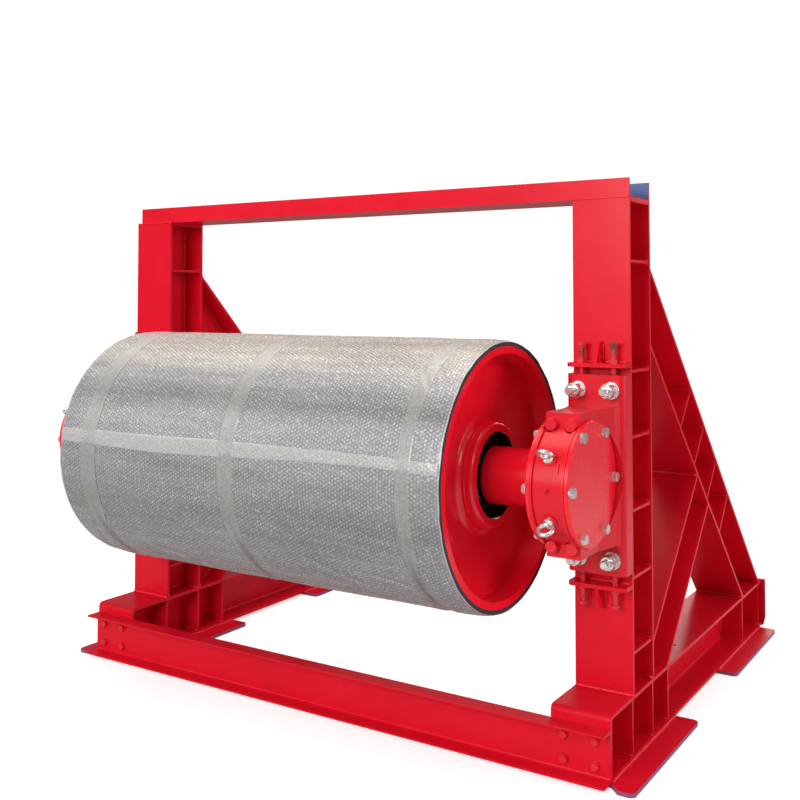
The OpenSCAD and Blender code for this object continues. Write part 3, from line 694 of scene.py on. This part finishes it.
def wrap_mat():
    m, nt, p = new_mat("bubble_sheet")
    v = coords(nt)
    bub, fold, tone, rim = (attr(nt, k) for k in ("bubble", "fold", "tone", "rim"))
    n1 = noise(nt, v, 2.6, 4.0, 0.6)
    n2 = noise(nt, v, 24.0, 5.0, 0.65)
    n3 = noise(nt, v, 140.0, 3.0, 0.6)
    # bubble tops lighter and randomly toned, gaps darker, with white specks: partly the sheet over black rubber,
    # partly painted highlights and glints on the tops and painted shade in the gaps
    gap = mix(nt, n1, (0.200, 0.198, 0.200), (0.270, 0.265, 0.262))
    top = ramp(nt, tone, [(0.20, (0.300, 0.299, 0.300)), (0.62, (0.480, 0.477, 0.474)), (0.90, (0.740, 0.738, 0.732))])
    c = mix(nt, ramp(nt, bub, [(0.10, (0, 0, 0)), (0.80, (1, 1, 1))]), gap, top)
    glint = maths(nt, "MULTIPLY", ramp(nt, n3, [(0.54, (0, 0, 0)), (0.70, (1, 1, 1))]), rng(nt, n2, 0.3, 1.0))
    c = mix(nt, glint, c, (0.80, 0.79, 0.78))
    c = mix(nt, ramp(nt, n1, [(0.35, (0, 0, 0)), (0.75, (0.20, 0.20, 0.20))]), c, (0.40, 0.36, 0.31))
    # long faint light and dark streaks along the drum, a painted highlight; the colour is also scaled by the
    # light-and-shade factor round the drum
    streak = noise(nt, stretched(nt, v, 1.3, 17.0, 17.0), 1.0, 4.0, 0.6)
    c = scaled(nt, c, maths(nt, "MULTIPLY", attr(nt, "layers"), rng(nt, streak, 0.62, 1.46)))
    # painted light: warmer where the factor round the drum is high, on top, and cooler where it is low
    tint = nt.nodes.new("ShaderNodeVectorMath")
    tint.operation = "MULTIPLY"
    nt.links.new(c, tint.inputs[0])
    nt.links.new(ramp(nt, maths(nt, "MULTIPLY", attr(nt, "layers"), 0.66), [(0.62, (0.975, 0.990, 1.05)), (0.94, (1.0, 0.970, 0.915))]), tint.inputs[1])
    # painted shade: darker in the folds, creases and the grooves under the tape bands
    c = mix(nt, maths(nt, "MULTIPLY", fold, 0.72), tint.outputs[0], (0.105, 0.085, 0.080))
    c = mix(nt, maths(nt, "MULTIPLY", rim, 0.42), c, (0.62, 0.59, 0.61))
    nt.links.new(c, p.inputs["Base Color"])
    nt.links.new(rng(nt, n2, 0.12, 0.34), p.inputs["Roughness"])
    p.inputs["Specular IOR Level"].default_value = 0.36
    nt.links.new(bump(nt, n3, 0.35, 0.0012), p.inputs["Normal"])
    return m


def tape_mat(name, lo, hi, glint_k, r0, r1, layered=False):
    m, nt, p = new_mat(name)
    v = coords(nt)
    bub, fold = attr(nt, "bubble"), attr(nt, "fold")
    n1 = noise(nt, v, 7.0, 4.0, 0.6)
    n2 = noise(nt, v, 55.0, 5.0, 0.65)
    n3 = noise(nt, v, 170.0, 3.0, 0.6)
    c = mix(nt, n1, lo, hi)
    c = mix(nt, maths(nt, "MULTIPLY", maths(nt, "SUBTRACT", 1.0, bub), 0.42), c, tuple(0.45 * q for q in lo))
    c = mix(nt, ramp(nt, n3, [(0.50, (0, 0, 0)), (0.72, (glint_k, glint_k, glint_k))]), c, (0.74, 0.73, 0.71))
    # painted light: the band takes the same light-and-shade factor round the drum as the sheet
    if layered:
        c = scaled(nt, c, attr(nt, "layers"))
    # painted shade: darker in the folds and creases under the tape
    c = mix(nt, maths(nt, "MULTIPLY", fold, 0.70), c, (0.100, 0.080, 0.074))
    nt.links.new(c, p.inputs["Base Color"])
    nt.links.new(rng(nt, n2, r0, r1), p.inputs["Roughness"])
    p.inputs["Specular IOR Level"].default_value = 0.6
    nt.links.new(bump(nt, n2, 0.35, 0.0016), p.inputs["Normal"])
    return m


TAPE = tape_mat("clear_tape", (0.37, 0.37, 0.365), (0.455, 0.452, 0.445), 0.6, 0.16, 0.34)
BAND = tape_mat("clear_tape_band", (0.335, 0.333, 0.322), (0.410, 0.406, 0.392), 0.50, 0.18, 0.40, layered=True)
WRAP = wrap_mat()

SEAM_X = 0.0
left_sheet = sheet_half("wrap_sheet_left", -X_END, SEAM_X, -X_END)
right_sheet = sheet_half("wrap_sheet_right", SEAM_X, X_END, X_END)
for o in (left_sheet, right_sheet):
    o.data.materials.clear()
    o.data.materials.append(WRAP)


def tape_strip(name, X, D, closed, mat):
    """Tape laid on the tops of the bubbles: X along the drum, D degrees round, both grids."""
    nx, nd = X.shape
    dw = (D + 180) % 360 - 180
    # bubbles print through
    s = np.radians(D) * R_WRAP
    k = 2 * math.pi / (PITCH * math.sqrt(3) / 2)
    pr = (np.cos(k * X) + np.cos(k * (X / 2 + s * math.sqrt(3) / 2)) + np.cos(k * (X / 2 - s * math.sqrt(3) / 2))) / 3
    base, fold = macro(X, dw, True)
    r = base + 0.0030 + 0.0010 * pr + 0.0005 * vnoise(X * 60, s * 60, 0.0, 31)
    # edges stick down
    if closed:
        ex = np.minimum(X - X[:1], X[-1:] - X)
    else:
        ex = np.minimum(D - D[:, :1], D[:, -1:] - D) * math.pi / 180 * R_WRAP
    r = r - 0.0014 * np.exp(-(ex / 0.0030) ** 2)
    V = on_drum(X, D, r).reshape(-1, 3)
    idx = np.arange(nx * nd).reshape(nx, nd)
    faces = []
    last = nd if closed else nd - 1
    for i in range(nx - 1):
        for j in range(last):
            j2 = (j + 1) % nd
            faces.append((idx[i, j], idx[i + 1, j], idx[i + 1, j2], idx[i, j2]))
    o = make(name, V, faces, mat, "drum")
    for key, val in (("bubble", np.clip(0.45 + 0.75 * pr, 0, 1)), ("fold", fold), ("layers", layering_and_painted_light(dw))):
        at = o.data.attributes.new(key, "FLOAT", "POINT")
        at.data.foreach_set("value", np.ravel(val).astype(np.float32))
    f = o.data.polygons[0]
    c = f.center
    if (c.y - AXY) * f.normal.y + (c.z - AXZ) * f.normal.z < 0:
        o.data.flip_normals()
    return o


for t, (xb, w), (xg, hw) in zip(("left", "middle", "right"), BANDS, GROOVE):
    n = max(8, int(w / 0.0050))
    u, D = np.meshgrid(np.linspace(-1, 1, n), np.arange(0, 360, 360 / 620), indexing="ij")
    g = gather((D + 180) % 360 - 180)
    ragged = 0.0016 * vnoise(u * 0.6 + 3, np.cos(np.radians(D)) * 9, np.sin(np.radians(D)) * 9, 61)
    X = xb + (xg - xb) * g + u * (w / 2) * (1 - 0.45 * g) + ragged
    o = tape_strip("tape_band_" + t, X, D, True, BAND)
xs = np.linspace(-X_END + 0.003, X_END - 0.003, 400)
lo, hi = tape_edges(xs)
lo = lo + 0.10 * vnoise(xs * 24, 0.3, 0.7, 51)
hi = hi + 0.10 * vnoise(xs * 24, 2.3, 0.7, 52)
u = np.linspace(0, 1, 14)
D = lo[:, None] * (1 - u) + hi[:, None] * u
X = np.repeat(xs[:, None], len(u), axis=1)
tape_strip("tape_along_drum", X, D, False, TAPE)
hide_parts("wrap_sheet")
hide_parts("wrap_tapes")

# ---------------------------------------------------------------- weld beads
class Beads:
    """Fillet welds: each is a run of small overlapping ripples in the corner between two plates."""

    def __init__(self):
        self.v, self.f = [], []
        self.n = 0

    def add(self, p0, p1, na, nb, leg=0.009, step=0.006):
        p0, p1, na, nb = (Vector(q) for q in (p0, p1, na, nb))
        L = (p1 - p0).length
        if L < 0.02:
            return
        n = max(3, int(L / step))
        base = len(self.v)
        ring = 5
        for i in range(n + 1):
            t = i / n
            c = p0.lerp(p1, t)
            ph = hash3(int(self.n), i, 3, 7)
            k = leg * (0.88 + 0.22 * ph + (0.10 if i % 2 else 0.0))
            if i in (0, n):
                k *= 0.35
            for j in range(ring):
                a = math.pi / 2 * j / (ring - 1)
                e = 0.80 + 0.14 * math.sin(2 * a)
                self.v.append(c + na * (k * math.cos(a) * e / 0.80) + nb * (k * math.sin(a) * e / 0.80))
            self.v.append(c - (na + nb) * 0.0012)
        w = ring + 1
        for i in range(n):
            for j in range(w):
                a = base + i * w + j
                b = base + i * w + (j + 1) % w
                self.f.append((a, b, b + w, a + w))
        self.f.append(tuple(base + j for j in range(w)))
        self.f.append(tuple(base + n * w + j for j in reversed(range(w))))
        self.n += 1

    def build(self, name, mirror=False):
        v = [Vector((-q.x, q.y, q.z)) if mirror else q for q in self.v]
        o = make(name, v, self.f, weld_paint_and_highlight, "frame")
        bm = bmesh.new()
        bm.from_mesh(o.data)
        bmesh.ops.recalc_face_normals(bm, faces=bm.faces)
        bm.to_mesh(o.data)
        bm.free()
        return o


TF, TW = 0.014, 0.009
STIFF_T = 0.012
HZ = SEC / 2 - TF                # half the clear depth between flanges
SNIP = 0.019


def side_beads():
    W = Beads()
    X, Y, Z = Vector((1, 0, 0)), Vector((0, 1, 0)), Vector((0, 0, 1))

    def stiffener(c, along, across):
        """Welds of a pair of stiffener plates. c: middle, along: the member's axis, across: towards a flange."""
        for sx in (-1, 1):
            for sa in (-1, 1):
                q = c + along * (sa * STIFF_T / 2)
                a0 = q + X * (sx * TW / 2)
                W.add(a0 - across * (HZ - SNIP), a0 + across * (HZ - SNIP), X * sx, along * sa, 0.007)
                for sf in (-1, 1):
                    b = q + across * (sf * HZ)
                    W.add(b + X * (sx * (TW / 2 + SNIP)), b + X * (sx * (SEC / 2 - 0.005)), across * -sf, along * sa, 0.007)

    pc = Vector((CX, Y0 + SEC / 2, 0))
    for z in (0.430, 0.731, 1.003, 1.301, 1.570, 2.025):
        stiffener(pc + Z * z, Z, Y)
    for y in (0.002, 0.243, 0.440, 1.685, 2.033):
        stiffener(Vector((CX, Y0 + y, SILL_B + SEC / 2)), Y, Z)
    # brace
    A = math.atan2(1.826 - SILL_T, 1.858 - SEC)
    d = Vector((0, math.cos(A), -math.sin(A)))
    nrm = Vector((0, math.sin(A), math.cos(A)))
    b0 = Vector((CX, Y0 + SEC, 1.826))
    for s in (0.676, 0.959, 1.237, 1.525):
        stiffener(b0 + d * s, d, nrm)
    # post on sill: outside and inside of both flanges, both sides of the web
    z = SILL_T
    for yf, n in ((Y0, -Y), (Y0 + TF, Y), (Y0 + SEC - TF, -Y), (Y0 + SEC, Y)):
        if n.y > 0 and yf > Y0 + TF * 2 or n.y < 0 and yf < Y0 + TF:
            W.add((CX - SEC / 2, yf, z), (CX + SEC / 2, yf, z), n, Z, 0.012)
        else:
            for sx in (-1, 1):
                W.add((CX + sx * 0.02, yf, z), (CX + sx * SEC / 2, yf, z), n, Z, 0.011)
    for sx in (-1, 1):
        W.add((CX + sx * TW / 2, Y0 + 0.03, z), (CX + sx * TW / 2, Y0 + SEC - 0.03, z), X * sx, Z, 0.009)
    # top plate on the post and channel on the top plate
    zt = POST[1][2]
    W.add((CX - SEC / 2, Y0 + 0.0005, zt + 0.014), (CX + SEC / 2, Y0 + 0.0005, zt + 0.014), -Y, Z * 0.8, 0.006)
    # brace on post and on sill
    for off, s in ((SEC / 2, 1), (-SEC / 2, -1)):
        zz = 1.826 + off / math.cos(A)
        W.add((CX - SEC / 2, Y0 + SEC, zz), (CX + SEC / 2, Y0 + SEC, zz), Y, Z * s, 0.010)
        yy = 1.858 + off / math.sin(A)
        W.add((CX - SEC / 2, Y0 + yy, SILL_T), (CX + SEC / 2, Y0 + yy, SILL_T), Z, Y * s, 0.010)
    for sx in (-1, 1):
        x = CX + sx * TW / 2
        W.add((x, Y0 + SEC, 1.826 - 0.14), (x, Y0 + SEC, 1.826 + 0.14), X * sx, Y, 0.008)
        W.add((x, Y0 + 1.858 - 0.14, SILL_T), (x, Y0 + 1.858 + 0.14, SILL_T), X * sx, Z, 0.008)
    # strut
    a = math.radians(42.8)
    c0 = Vector((0, 0.352, 0.358))
    sd = Vector((0, math.cos(a), math.sin(a)))
    sn = Vector((0, -math.sin(a), math.cos(a)))      # up and forward
    up = c0 + sn * (SEC / 2)
    lo = c0 - sn * (SEC / 2)
    zu = up.z + (SEC - up.y) * math.tan(a)
    W.add((CX - SEC / 2, Y0 + SEC, zu), (CX + SEC / 2, Y0 + SEC, zu), Y, Z, 0.010)
    yl = lo.y + (SILL_T - lo.z) / math.tan(a)
    W.add((CX - SEC / 2, Y0 + yl, SILL_T), (CX + SEC / 2, Y0 + yl, SILL_T), Z, Y, 0.010)
    # strut flanges on the underside of the brace
    bi = Vector((0, SEC, 1.826)) - nrm * (SEC / 2)
    for q, s in ((up, 1), (lo, -1)):
        # where q + t*sd meets the brace's inner face
        t = (bi - q).dot(nrm) / sd.dot(nrm)
        hit = q + sd * t
        W.add((CX - SEC / 2, Y0 + hit.y, hit.z), (CX + SEC / 2, Y0 + hit.y, hit.z), -nrm, (sn * s), 0.010)
    # sill on its foot plates
    for (ya, yb) in ((-0.236, 0.530), (1.205, 2.030)):
        for sx in (-1, 1):
            W.add((CX + sx * SEC / 2, Y0 + ya, SILL_B), (CX + sx * SEC / 2, Y0 + yb, SILL_B), X * sx, Z, 0.008)
    # end plate round the front of the sill
    for sx in (-1, 1):
        W.add((CX + sx * (TW / 2), Y0 - 0.236, SILL_B + 0.04), (CX + sx * (TW / 2), Y0 - 0.236, SILL_T - 0.04), X * sx, Y, 0.008)
    # end plate under the rounded front edge of the flange
    W.add((CX - SEC / 2 + 0.004, SILL[0][1] + 0.0015, SILL_T - TF), (CX + SEC / 2 - 0.004, SILL[0][1] + 0.0015, SILL_T - TF), -Y, Z * -0.8, 0.005)
    # closing plate at the rear, against flange and web
    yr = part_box("right_sill_plates")[1][1] - 0.012
    W.add((CX - SEC / 2, yr, SILL_T), (CX + SEC / 2, yr, SILL_T), -Y, Z, 0.007)
    for sx in (-1, 1):
        W.add((CX + sx * TW / 2, yr, SILL_B + 0.03), (CX + sx * TW / 2, yr, SILL_T - 0.03), X * sx, -Y, 0.008)
    # stop brackets
    for zb, zs, s in ((1.588, 1.604, 1), (0.710, 0.694, -1)):
        W.add((CX - SEC / 2 + 0.01, Y0, zs), (CX - 0.012, Y0, zs), -Y, Z * s, 0.008)
        W.add((CX + 0.012, Y0, zs), (CX + SEC / 2 - 0.01, Y0, zs), -Y, Z * s, 0.008)
        W.add((CX - SEC / 2 + 0.01, Y0, zb), (CX + SEC / 2 - 0.01, Y0, zb), -Y, Z * -s, 0.008)
        for sx in (-1, 1):
            W.add((CX + sx * 0.007, Y0, zs + 0.005 * s), (CX + sx * 0.007, Y0, zs + 0.080 * s), X * sx, -Y, 0.006)
            W.add((CX + sx * 0.007, Y0 - 0.004, zs), (CX + sx * 0.007, Y0 - 0.066, zs), X * sx, Z * s, 0.006)
    return W


for side, mir in (("right", False), ("left", True)):
    side_beads().build(side + "_frame_welds", mir)

# ---------------------------------------------------------------- floor, light, camera
def stage_floor():
    """A pale round floor that melts into the white surround."""
    n, rings = 96, [0.0, 2.0, 4.0, 6.0, 8.0, 11.0, 15.0]
    v, f = [(0, 0, -0.001)], []
    for r in rings[1:]:
        v += [(r * math.cos(2 * math.pi * i / n), r * math.sin(2 * math.pi * i / n), -0.001) for i in range(n)]
    f += [(0, 1 + i, 1 + (i + 1) % n) for i in range(n)]
    for k in range(len(rings) - 2):
        a = 1 + k * n
        f += [(a + i, a + n + i, a + n + (i + 1) % n, a + (i + 1) % n) for i in range(n)]
    me = bpy.data.meshes.new("floor")
    me.from_pydata(v, [], f)
    o = bpy.data.objects.new("floor", me)
    COLL.objects.link(o)
    m, nt, p = new_mat("floor_pale")
    p.inputs["Base Color"].default_value = (0.62, 0.62, 0.62, 1)
    p.inputs["Roughness"].default_value = 0.7
    p.inputs["Specular IOR Level"].default_value = 0.1
    out = next(x for x in nt.nodes if x.type == "OUTPUT_MATERIAL")
    glow = nt.nodes.new("ShaderNodeEmission")
    glow.inputs["Color"].default_value = (1, 1, 1, 1)
    lp = nt.nodes.new("ShaderNodeLightPath")
    nt.links.new(maths(nt, "MULTIPLY", lp.outputs["Is Camera Ray"], 0.62), glow.inputs["Strength"])
    add = nt.nodes.new("ShaderNodeAddShader")
    nt.links.new(p.outputs[0], add.inputs[0])
    nt.links.new(glow.outputs[0], add.inputs[1])
    tr = nt.nodes.new("ShaderNodeBsdfTransparent")
    mxs = nt.nodes.new("ShaderNodeMixShader")
    d = nt.nodes.new("ShaderNodeVectorMath")
    d.operation = "LENGTH"
    nt.links.new(coords(nt), d.inputs[0])
    fade = nt.nodes.new("ShaderNodeMapRange")
    fade.interpolation_type = "SMOOTHSTEP"
    fade.inputs["From Min"].default_value = 4.0
    fade.inputs["From Max"].default_value = 9.0
    nt.links.new(d.outputs["Value"], fade.inputs["Value"])
    nt.links.new(fade.outputs[0], mxs.inputs[0])
    nt.links.new(add.outputs[0], mxs.inputs[1])
    nt.links.new(tr.outputs[0], mxs.inputs[2])
    nt.links.new(mxs.outputs[0], out.inputs[0])
    me.materials.append(m)


stage_floor()


def area(name, loc, aim, size, power, color=(1, 1, 1)):
    li = bpy.data.lights.new(name, "AREA")
    li.shape = "RECTANGLE"
    li.size, li.size_y = size
    li.energy = power
    li.color = color
    o = bpy.data.objects.new(name, li)
    o.location = loc
    o.rotation_euler = (Vector(aim) - Vector(loc)).to_track_quat("-Z", "Y").to_euler()
    COLL.objects.link(o)
    return o


AIM = (0, -0.6, 1.1)
area("front", (0.2, -8.8, 3.8), (0, -0.6, 0.9), (4.2, 3.4), 540, (1.0, 0.99, 0.985))
area("left", (-6.0, -6.6, 5.0), AIM, (2.5, 2.5), 70, (1.0, 0.99, 0.985))
area("right_front", (7.5, -4.9, 5.0), AIM, (2.5, 2.5), 80, (1.0, 0.985, 0.98))
area("right", (9.4, 1.4, 2.8), (1.2, -0.7, 1.1), (3.6, 3.2), 315, (1.0, 0.98, 0.975))
area("rear", (0.5, 9.0, 5.0), AIM, (5.0, 4.0), 300, (1.0, 0.985, 0.97))
area("top", (-0.4, -1.0, 10.0), (0, -0.6, 0), (8.0, 7.0), 520, (1.0, 0.91, 0.80))

w = bpy.data.worlds.new("studio")
bpy.context.scene.world = w
w.use_nodes = True
nt = w.node_tree
nt.nodes.clear()
wo = nt.nodes.new("ShaderNodeOutputWorld")
bg = nt.nodes.new("ShaderNodeBackground")
bg2 = nt.nodes.new("ShaderNodeBackground")
bg.inputs["Color"].default_value = (0.96, 0.97, 1.0, 1)
bg.inputs["Strength"].default_value = 0.24
bg2.inputs["Color"].default_value = (1, 1, 1, 1)
bg2.inputs["Strength"].default_value = 1.05
lp = nt.nodes.new("ShaderNodeLightPath")
mx = nt.nodes.new("ShaderNodeMixShader")
nt.links.new(lp.outputs["Is Camera Ray"], mx.inputs[0])
nt.links.new(bg.outputs[0], mx.inputs[1])
nt.links.new(bg2.outputs[0], mx.inputs[2])
nt.links.new(mx.outputs[0], wo.inputs[0])

cam = bpy.data.cameras.new("camera")
cam.sensor_width = 36
cam.sensor_fit = "HORIZONTAL"
cam.lens = 1042.044 / 800 * 36
cam.shift_x = 0.0
cam.shift_y = (258.668 - 400) / 800
cam.clip_end = 200
co = bpy.data.objects.new("camera", cam)
co.location = (2.929462, -4.106626 + Y0, 1.857596)
co.rotation_euler = (math.radians(90 + 2.351), 0, math.radians(32.558))
COLL.objects.link(co)
bpy.context.scene.camera = co
bpy.context.scene.view_settings.view_transform = "Standard"
bpy.context.scene.view_settings.look = "None"
